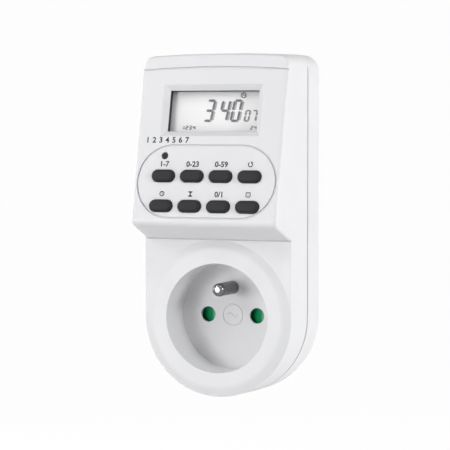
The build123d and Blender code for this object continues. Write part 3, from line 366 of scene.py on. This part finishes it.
HOUSING_COLOUR = srgb(229, 229, 231)
MATERIALS = {
    "housing_white": moulded(
        "housing_plastic", HOUSING_COLOUR, 0.38, grain=0.1, edge=0.25 * MM, mottling=0.012,
        Specular_IOR_Level=0.35),
    "inner_plastic": moulded("inner_plastic", srgb(222, 222, 220), 0.5),
    "key_grey": moulded(
        "key_plastic", srgb(38, 38, 40), 0.5, grain=0.25, mottling=0.08, Specular_IOR_Level=0.22),
    "shutter_green": moulded("shutter_plastic", srgb(0, 142, 86), 0.28, grain=0.08, mottling=0.05),
    "relay_black": moulded("relay_plastic", srgb(34, 34, 36), 0.4, grain=0.3),
    "black_epoxy": moulded("chip_epoxy", srgb(26, 26, 27), 0.5, grain=0.4),
    "capacitor_yellow": moulded("capacitor_case", srgb(206, 164, 40), 0.4),
    "can_sleeve": moulded("can_sleeve", srgb(28, 34, 58), 0.3),
    "varistor_blue": moulded("varistor_coating", srgb(24, 66, 138), 0.35),
    "resistor_body": moulded("resistor_coating", srgb(166, 178, 170), 0.5),
    "battery_wrap": moulded("battery_wrap", srgb(38, 120, 84), 0.35),
    "lead_brown": moulded("lead_brown", srgb(104, 60, 34), 0.4),
    "lead_blue": moulded("lead_blue", srgb(36, 80, 150), 0.4),
    "silicone": rubber("keypad_silicone", srgb(176, 176, 174)),
    "zebra_rubber": rubber("zebra_rubber", srgb(60, 60, 62)),
    "black_foam": rubber("gasket_foam", srgb(14, 14, 15)),
    "nickel": metal("nickel_plate", srgb(196, 194, 190), 0.24, ALONG_Y, scratches=0.04),
    "brass": metal("brass", srgb(196, 160, 88), 0.28, ALONG_Y),
    "screw_steel": metal("zinc_screw", srgb(186, 188, 190), 0.3),
    "spring_steel": metal("spring_steel", srgb(170, 172, 176), 0.25),
    "soft_iron": metal("soft_iron", srgb(150, 150, 152), 0.35),
    "coil_wire": wound_wire(),
    "board_green": circuit_board(),
    "clear_window": clear_window_plastic(),
    "lcd": display_glass(),
}


def dress_nodes():
    """Gives each CAD node the material of its slot in the record."""
    for part in frame["record"]["subparts"]:
        piece = nodes[part["node"]]
        material = MATERIALS[part["material_slot"]]
        if part["node"] == "earth_pin":
            material = earth_pin_metal()
        for slot in piece.material_slots:
            slot.material = material


# The head's own frame, read from the keys: x is X, s runs up its face and t stands out of it
key_axis = Vector(next(j for j in frame["joints"] if j["name"] == "key_week_press")["axis"])
T_AXIS = -key_axis.normalized()
X_AXIS = Vector((1, 0, 0))
S_AXIS = T_AXIS.cross(X_AXIS)


def head_extent(node):
    """Lowest and highest x, s and t of a CAD node, in millimetres."""
    places = [v.co for v in nodes[node].data.vertices]
    spans = []
    for axis in (X_AXIS, S_AXIS, T_AXIS):
        values = [place.dot(axis) / MM for place in places]
        spans.append((min(values), max(values)))
    return spans


def head_matrix(x, s, t):
    """Where a piece drawn in x and y lands on the head, with its millimetres scaled to metres."""
    origin = (X_AXIS * x + S_AXIS * s + T_AXIS * t) * MM
    turn = Matrix((X_AXIS, S_AXIS, T_AXIS)).transposed().to_4x4()
    return Matrix.Translation(origin) @ turn @ Matrix.Scale(MM, 4)


def middle(span):
    return (span[0] + span[1]) / 2


class Drawing:
    """Flat printed shapes in millimetres, made into one thin solid mesh."""

    def __init__(self):
        self.outlines = []

    def fill(self, outline):
        """A filled outline, its points in counter-clockwise order."""
        self.outlines.append(outline)

    def stroke(self, points, width, closed=False):
        """A band of even width along a line, mitred at its corners."""
        left, right = [], []
        count = len(points)
        for i, point in enumerate(points):
            before = points[(i - 1) % count] if closed or i > 0 else None
            after = points[(i + 1) % count] if closed or i < count - 1 else None
            directions = []
            if before is not None:
                directions.append((Vector(point) - Vector(before)).normalized())
            if after is not None:
                directions.append((Vector(after) - Vector(point)).normalized())
            normals = [Vector((-d.y, d.x)) for d in directions]
            mitre = sum(normals, Vector((0, 0))).normalized()
            reach = width / 2 / max(mitre.dot(normals[0]), MITRE_LIMIT)
            left.append(Vector(point) + mitre * reach)
            right.append(Vector(point) - mitre * reach)
        for i in range(count if closed else count - 1):
            j = (i + 1) % count
            self.fill([right[i], right[j], left[j], left[i]])

    def text(self, words, height, x=0.0, y=0.0, align="CENTER", spacing=1.0):
        """Plain figures, centred on y."""
        curve = bpy.data.curves.new("words", "FONT")
        curve.body = words
        curve.size = height / FIGURE_SHARE
        curve.align_x = align
        curve.space_character = spacing
        curve.offset = FIGURE_BOLDNESS
        curve.resolution_u = 3
        holder = bpy.data.objects.new("words", curve)
        mesh = bpy.data.meshes.new_from_object(holder)
        for polygon in mesh.polygons:
            corners = [mesh.vertices[i].co for i in polygon.vertices]
            self.fill([Vector((c.x + x, c.y + y - height / 2)) for c in corners])
        bpy.data.objects.remove(holder)
        bpy.data.curves.remove(curve)
        bpy.data.meshes.remove(mesh)

    def moved(self, x, y):
        """A copy of this drawing, shifted."""
        other = Drawing()
        for outline in self.outlines:
            other.fill([Vector((p[0] + x, p[1] + y)) for p in outline])
        return other

    def add(self, other):
        """Takes over another drawing's shapes."""
        self.outlines.extend(other.outlines)

    def build(self, name, thickness, matrix):
        """One mesh object: flat shapes, joined where they share edges, and raised by the thickness."""
        bm = bmesh.new()
        for outline in self.outlines:
            bm.faces.new([bm.verts.new((p[0], p[1], 0)) for p in outline])
        bmesh.ops.remove_doubles(bm, verts=bm.verts, dist=MERGE_DISTANCE)
        bmesh.ops.recalc_face_normals(bm, faces=bm.faces)
        for face in bm.faces:
            if face.normal.z < 0:
                face.normal_flip()
        base = list(bm.faces)
        raised = bmesh.ops.extrude_face_region(bm, geom=base, use_keep_orig=True)
        top = [g for g in raised["geom"] if isinstance(g, bmesh.types.BMVert)]
        bmesh.ops.translate(bm, verts=top, vec=(0, 0, thickness))
        bmesh.ops.reverse_faces(bm, faces=base)
        mesh = bpy.data.meshes.new(name)
        bm.to_mesh(mesh)
        bm.free()
        mesh.transform(matrix)
        piece = bpy.data.objects.new(name, mesh)
        bpy.context.collection.objects.link(piece)
        return piece


def arc(x, y, radius, start, end, steps):
    """Points on a circle, from one angle to another in degrees."""
    angles = [radians(start + (end - start) * i / steps) for i in range(steps + 1)]
    return [(x + radius * cos(a), y + radius * sin(a)) for a in angles]


def ring(drawing, x, y, radius, width):
    """A full circle of even width."""
    drawing.stroke(arc(x, y, radius, 0, 360, RING_STEPS)[:-1], width, closed=True)


def dot(drawing, x, y, radius):
    """A filled circle."""
    drawing.fill(arc(x, y, radius, 0, 360, DOT_STEPS)[:-1])


def turning_arrow():
    """A circle that nearly closes, with an arrow head at its end."""
    start, end = 120, 400
    head_length, head_half_width = 0.75, 0.45
    mark = Drawing()
    radius = LEGEND_HEIGHT / 2 - STROKE / 2
    mark.stroke(arc(0, 0, radius, start, end, ARC_STEPS), STROKE)
    across = Vector((cos(radians(end)), sin(radians(end))))
    along = Vector((-across.y, across.x))
    base = across * radius
    mark.fill([base + along * head_length, base - across * head_half_width, base + across * head_half_width])
    return mark


def clock_face():
    """A circle with two hands."""
    minute_tip, hour_tip = (0, 0.48), (0.36, -0.2)
    mark = Drawing()
    ring(mark, 0, 0, LEGEND_HEIGHT / 2 - STROKE / 2, STROKE)
    mark.stroke([minute_tip, (0, 0), hour_tip], STROKE * 0.8)
    return mark


def hourglass():
    """Two bulbs that meet at a narrow waist, each closed by a bar."""
    waist, waist_level = 0.07, 0.02
    bulb, bulb_level = 0.62, LEGEND_HEIGHT / 2 - 0.3
    bar, bar_level = 0.75, LEGEND_HEIGHT / 2 - 0.12
    mark = Drawing()
    for side in (-1, 1):
        outline = [
            (waist, waist_level * side), (bulb, bulb_level * side),
            (-bulb, bulb_level * side), (-waist, waist_level * side),
        ]
        mark.fill(outline if side > 0 else outline[::-1])
        mark.stroke([(-bar, bar_level * side), (bar, bar_level * side)], STROKE * 0.9)
    return mark


def die():
    """A die that shows five."""
    corner, dot_pitch, dot_radius = 0.25, 0.36, 0.13
    mark = Drawing()
    half = LEGEND_HEIGHT / 2 - STROKE / 2
    outline = []
    for x, y, start in ((1, 1, 0), (-1, 1, 90), (-1, -1, 180), (1, -1, 270)):
        outline += arc(x * (half - corner), y * (half - corner), corner, start, start + 90, 4)
    mark.stroke(outline, STROKE * 0.8, closed=True)
    for x, y in ((0, 0), (1, 1), (-1, 1), (-1, -1), (1, -1)):
        dot(mark, x * dot_pitch, y * dot_pitch, dot_radius)
    return mark


def figures(words):
    """Plain figures as a sign of their own."""
    mark = Drawing()
    mark.text(words, LEGEND_HEIGHT)
    return mark


def legends():
    """Plain numbers and simple signs printed above the keys, and a row of numbers above them."""
    marks = {
        "key_week": figures("1-7"), "key_hour": figures("0-23"), "key_minute": figures("0-59"),
        "key_recall": turning_arrow(), "key_clock": clock_face(), "key_timer": hourglass(),
        "key_mode": figures("0/1"), "key_random": die(),
    }
    sheet = Drawing()
    for node, mark in marks.items():
        xs, ss, _ = head_extent(node)
        sheet.add(mark.moved(middle(xs), middle(ss) + LEGEND_RISE))
    title_s = middle(head_extent("key_week")[1]) + TITLE_RISE
    sheet.text(TITLE_FIGURES, TITLE_HEIGHT, -TITLE_LEFT, title_s, "LEFT", TITLE_SPACING)
    piece = sheet.build("key_legends", PRINT_THICKNESS, head_matrix(0, 0, face_level()))
    piece.data.materials.append(ink("legend_ink", srgb(24, 24, 26)))
    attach(piece, "timer")


def face_level():
    """How far out the head's slanted face stands, as t: read from the housing's largest polygon along it."""
    slant = [
        polygon for polygon in nodes["front_housing"].data.polygons
        if polygon.normal.dot(T_AXIS) > 0.9999
    ]
    largest = max(slant, key=lambda polygon: polygon.area)
    return largest.center.dot(T_AXIS) / MM


# The seven segments of a digit: each joins two corners, given as left or right (0, 1) and level (0 to 2)
SEGMENTS = {
    "a": ((0, 2), (1, 2)), "b": ((1, 2), (1, 1)), "c": ((1, 1), (1, 0)), "d": ((0, 0), (1, 0)),
    "e": ((0, 1), (0, 0)), "f": ((0, 2), (0, 1)), "g": ((0, 1), (1, 1)),
}
# The segments that are lit in each figure that the display shows
LIT = {"0": "abcdef", "1": "bc", "2": "abged", "3": "abgcd", "4": "fgbc", "7": "abc"}


def digit(drawing, figure, x, y, width, height, stroke):
    """One leaning seven-segment digit about its middle, its segments pointed at both ends."""
    half = stroke / 2
    gap = stroke * DIGIT_GAP_SHARE
    inner_w, inner_h = width - stroke, height - stroke
    for name in LIT[figure]:
        (x0, y0), (x1, y1) = SEGMENTS[name]
        start = Vector(((x0 - 0.5) * inner_w, (y0 - 1) * inner_h / 2))
        end = Vector(((x1 - 0.5) * inner_w, (y1 - 1) * inner_h / 2))
        along = (end - start).normalized()
        across = Vector((-along.y, along.x))
        start += along * gap
        end -= along * gap
        outline = [
            start, start + along * half - across * half, end - along * half - across * half, end,
            end - along * half + across * half, start + along * half + across * half,
        ]
        drawing.fill([(x + corner.x + corner.y * DIGIT_LEAN, y + corner.y) for corner in outline])


def display():
    """Dark digits and small signs on the display, and painted soft shadows beside them: light grey shifted
    copies laid on its reflector.
    """
    xs, ss, ts = head_extent("lcd_glass")
    lit = Drawing()
    for figure, x in DIGITS_AT:
        digit(lit, figure, x, DIGIT_LEVEL, DIGIT_WIDTH, DIGIT_HEIGHT, DIGIT_STROKE)
    small = Drawing()
    for figure, x in SECONDS_AT:
        digit(small, figure, x, SECONDS_LEVEL, SECONDS_WIDTH, SECONDS_HEIGHT, SECONDS_STROKE)
    for row, start in SMALL_ROWS:
        for i, figure in enumerate(row):
            x = start + i * SMALL_PITCH
            digit(small, figure, x, SMALL_LEVEL, SMALL_WIDTH, SMALL_HEIGHT, SMALL_STROKE)
    x, y = SIGN_AT
    ring(small, x, y, SIGN_RADIUS, SMALL_STROKE)
    small.stroke([(x, y + SIGN_RADIUS / 2), (x, y), (x + SIGN_RADIUS / 2, y)], SMALL_STROKE)
    level = ts[1]
    # Painted shadow: the digits and signs again, shifted and drawn in light grey on the reflector
    shadow = Drawing()
    shadow.add(lit.moved(*SHADOW_OFFSET))
    shadow.add(small.moved(*SMALL_SHADOW_OFFSET))
    at = (middle(xs), middle(ss))
    for name, drawing, rise, colour in (
        ("display_painted_shadows", shadow, 0.0, srgb(176, 176, 178)),
        ("display_digits", lit, DIGIT_THICKNESS + PRINT_CLEARANCE, srgb(96, 96, 98)),
        ("display_signs", small, DIGIT_THICKNESS + PRINT_CLEARANCE, srgb(118, 118, 120)),
    ):
        piece = drawing.build(name, DIGIT_THICKNESS, head_matrix(*at, level + rise))
        piece.data.materials.append(ink(name + "_ink", colour))
        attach(piece, "timer")


def socket_mark():
    """A small raised wave, the usual sign for alternating current, in the ring on the socket's floor."""
    floor_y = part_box("earth_pin")[0][1] / MM + EARTH_PIN_LENGTH
    mark = Drawing()
    wave = []
    for i in range(WAVE_STEPS + 1):
        share = i / WAVE_STEPS
        wave.append((WAVE_LENGTH * (share - 0.5), WAVE_AMPLITUDE * sin(2 * pi * share)))
    mark.stroke(wave, WAVE_STROKE)
    # The drawing stands on the socket's floor, its y along Z, and is raised towards -Y
    turn = Matrix(((1, 0, 0, 0), (0, 0, -1, floor_y), (0, 1, 0, 0), (0, 0, 0, 1)))
    piece = mark.build("socket_mark", WAVE_RAISE, Matrix.Scale(MM, 4) @ turn)
    piece.data.materials.append(MATERIALS["housing_white"])
    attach(piece, "timer")


def camera():
    """The place and lens that the photograph was fitted to."""
    data = bpy.data.cameras.new("camera")
    data.lens = CAMERA_LENS
    data.sensor_width = 36.0
    data.clip_start = 0.01
    holder = bpy.data.objects.new("camera", data)
    holder.location = CAMERA_AT
    holder.rotation_euler = (radians(90 - CAMERA_DOWN), 0, radians(CAMERA_YAW))
    bpy.context.collection.objects.link(holder)
    bpy.context.scene.camera = holder


def seen_directly(tree):
    """1 for camera, glossy and transmission rays, and 0 for the rays that carry light between surfaces."""
    path = tree.nodes.new("ShaderNodeLightPath")
    total = path.outputs["Is Camera Ray"]
    for name in ("Is Glossy Ray", "Is Transmission Ray"):
        most = tree.nodes.new("ShaderNodeMath")
        most.operation = "MAXIMUM"
        tree.links.new(total, most.inputs[0])
        tree.links.new(path.outputs[name], most.inputs[1])
        total = most.outputs[0]
    return total


def world():
    """A studio that looks nearly white and gives only a little light of its own."""
    made = bpy.data.worlds.new("studio")
    made.use_nodes = True
    tree = made.node_tree
    light = tree.nodes["Background"]
    light.inputs["Color"].default_value = (1, 1, 1, 1)
    light.inputs["Strength"].default_value = AMBIENT
    shown = tree.nodes.new("ShaderNodeBackground")
    shown.inputs["Color"].default_value = (1, 1, 1, 1)
    shown.inputs["Strength"].default_value = BACKDROP
    mix = tree.nodes.new("ShaderNodeMixShader")
    tree.links.new(seen_directly(tree), mix.inputs["Fac"])
    tree.links.new(light.outputs[0], mix.inputs[1])
    tree.links.new(shown.outputs[0], mix.inputs[2])
    tree.links.new(mix.outputs[0], tree.nodes["World Output"].inputs["Surface"])
    bpy.context.scene.world = made


def floor():
    """A wide pale floor well below the timer, white to the eye where no shadow falls."""
    bm = bmesh.new()
    bmesh.ops.create_grid(bm, x_segments=4, y_segments=4, size=FLOOR_SIZE / 2)
    mesh = bpy.data.meshes.new("floor")
    bm.to_mesh(mesh)
    bm.free()
    piece = bpy.data.objects.new("floor", mesh)
    piece.location = (0, 0, cad_box[0][2] - FLOOR_DROP)
    bpy.context.collection.objects.link(piece)
    material = bpy.data.materials.new("floor_white")
    material.use_nodes = True
    tree = material.node_tree
    paint = tree.nodes["Principled BSDF"]
    paint.inputs["Base Color"].default_value = FLOOR_PAINT
    paint.inputs["Roughness"].default_value = 0.9
    paint.inputs["Specular IOR Level"].default_value = 0.0
    glow = tree.nodes.new("ShaderNodeEmission")
    glow.inputs["Strength"].default_value = FLOOR_GLOW
    share = tree.nodes.new("ShaderNodeMath")
    share.operation = "MULTIPLY"
    share.inputs[1].default_value = FLOOR_GLOW_SHARE
    mix = tree.nodes.new("ShaderNodeMixShader")
    tree.links.new(seen_directly(tree), share.inputs[0])
    tree.links.new(share.outputs[0], mix.inputs["Fac"])
    tree.links.new(paint.outputs[0], mix.inputs[1])
    tree.links.new(glow.outputs[0], mix.inputs[2])
    tree.links.new(mix.outputs[0], tree.nodes["Material Output"].inputs["Surface"])
    mesh.materials.append(material)


def lamps():
    """Square soft lamps on a sphere about the middle of the front of the timer."""
    aim = Vector((0, cad_box[0][1], (cad_box[0][2] + cad_box[1][2]) / 2))
    for name, around, up, size, power in LAMPS:
        level = cos(radians(up))
        outward = Vector((sin(radians(around)) * level, -cos(radians(around)) * level, sin(radians(up))))
        data = bpy.data.lights.new(name, "AREA")
        data.shape = "SQUARE"
        data.size = size
        data.energy = power
        holder = bpy.data.objects.new(name, data)
        holder.location = aim + outward * LAMP_DISTANCE
        holder.rotation_euler = outward.to_track_quat("Z", "Y").to_euler()
        bpy.context.collection.objects.link(holder)


camera()
dress_nodes()
legends()
display()
socket_mark()
world()
floor()
lamps()
bpy.context.scene.view_settings.view_transform = "Standard"
